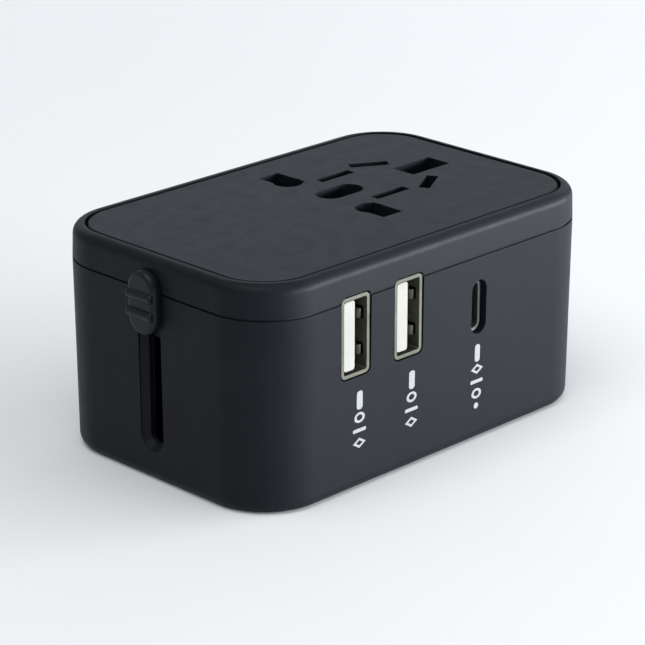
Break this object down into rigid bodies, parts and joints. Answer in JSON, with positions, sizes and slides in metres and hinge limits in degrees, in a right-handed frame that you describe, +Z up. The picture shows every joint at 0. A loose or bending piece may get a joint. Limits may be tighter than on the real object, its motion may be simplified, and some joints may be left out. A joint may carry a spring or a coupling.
{
  "type": "universal travel adapter",
  "caption": "Pocket travel adapter: a multi-standard socket on top, USB charging ports on the front, and slide-out UK, EU and US/AU plug pins in the base.",
  "frame": {"origin": "middle of the base, on the surface that it rests on", "axes": "+X along the length towards the UK earth hole, +Y away from the USB ports, +Z up towards the socket plate"},
  "size_m": [0.0804, 0.053, 0.0376],
  "materials": {
    "casing_plastic": "fine-textured satin, blue-black",
    "knob_plastic": "satin, blue-black",
    "inner_plastic": "matt black",
    "sleeve_plastic": "satin black",
    "contact_brass": "stamped",
    "pin_nickel": "nickel plated, satin",
    "port_nickel": "nickel plated sheet",
    "tongue_plastic": "moulded, off-white",
    "black_tongue": "moulded, black",
    "contact_gold": "gold flashed",
    "board_laminate": "green solder mask",
    "chip_plastic": "moulded epoxy",
    "can_aluminium": "sleeved can",
    "ferrite": "sintered",
    "winding_tape": "yellow polyester tape",
    "fuse_ceramic": "glazed ceramic",
    "spring_steel": "bright"
  },
  "bodies": {
    "casing": {"lower_casing": "casing_plastic", "upper_casing": "casing_plastic", "socket_plate": "casing_plastic", "case_screws": "spring_steel", "contact_housing": "inner_plastic", "live_contact": "contact_brass", "neutral_contact": "contact_brass", "earth_contact": "contact_brass", "usb_a_shell_left": "port_nickel", "usb_a_tongue_left": "tongue_plastic", "usb_a_contacts_left": "contact_gold", "usb_a_shell_right": "port_nickel", "usb_a_tongue_right": "tongue_plastic", "usb_a_contacts_right": "contact_gold", "usb_c_shell": "port_nickel", "usb_c_tongue": "black_tongue", "usb_board": "board_laminate", "controller_chip": "chip_plastic", "board_inductor": "chip_plastic", "board_capacitors": "can_aluminium", "board_link": "inner_plastic", "power_board": "board_laminate", "transformer_core": "ferrite", "transformer_winding": "winding_tape", "input_capacitors": "can_aluminium", "output_capacitors": "can_aluminium", "rectifier": "chip_plastic", "fuse_body": "fuse_ceramic", "fuse_caps": "spring_steel", "fuse_clips": "spring_steel", "live_busbar": "contact_brass", "neutral_busbar": "contact_brass", "us_guide": "inner_plastic", "eu_guide": "inner_plastic", "uk_guide": "inner_plastic", "us_detent_spring": "spring_steel", "eu_detent_spring": "spring_steel", "uk_detent_spring": "spring_steel"},
    "us_slider": {"us_carriage": "knob_plastic", "us_knob": "knob_plastic"},
    "us_blade_left": {"us_blade_left": "pin_nickel"},
    "us_blade_right": {"us_blade_right": "pin_nickel"},
    "eu_slider": {"eu_carriage": "knob_plastic", "eu_knob": "knob_plastic", "eu_pins": "pin_nickel", "eu_pin_sleeves": "sleeve_plastic"},
    "uk_slider": {"uk_carriage": "knob_plastic", "uk_knob": "knob_plastic", "uk_power_pins": "pin_nickel", "uk_pin_sleeves": "sleeve_plastic", "uk_earth_pin": "pin_nickel"}
  },
  "joints": [
    {"name": "us_slide", "type": "slide", "parent": "casing", "child": "us_slider", "axis": [0, 0, -1], "range_m": [0, 0.0205]},
    {"name": "eu_slide", "type": "slide", "parent": "casing", "child": "eu_slider", "axis": [0, 0, -1], "range_m": [0, 0.0205]},
    {"name": "uk_slide", "type": "slide", "parent": "casing", "child": "uk_slider", "axis": [0, 0, -1], "range_m": [0, 0.0205]},
    {"name": "us_twist_left", "type": "hinge", "parent": "us_slider", "child": "us_blade_left", "pos_m": [-0.031, 0.0004, 0.0256], "axis": [0, 0, 1], "range_deg": [0, 30]},
    {"name": "us_twist_right", "type": "hinge", "parent": "us_slider", "child": "us_blade_right", "pos_m": [-0.0183, 0.0004, 0.0256], "axis": [0, 0, 1], "range_deg": [-30, 0]}
  ]
}
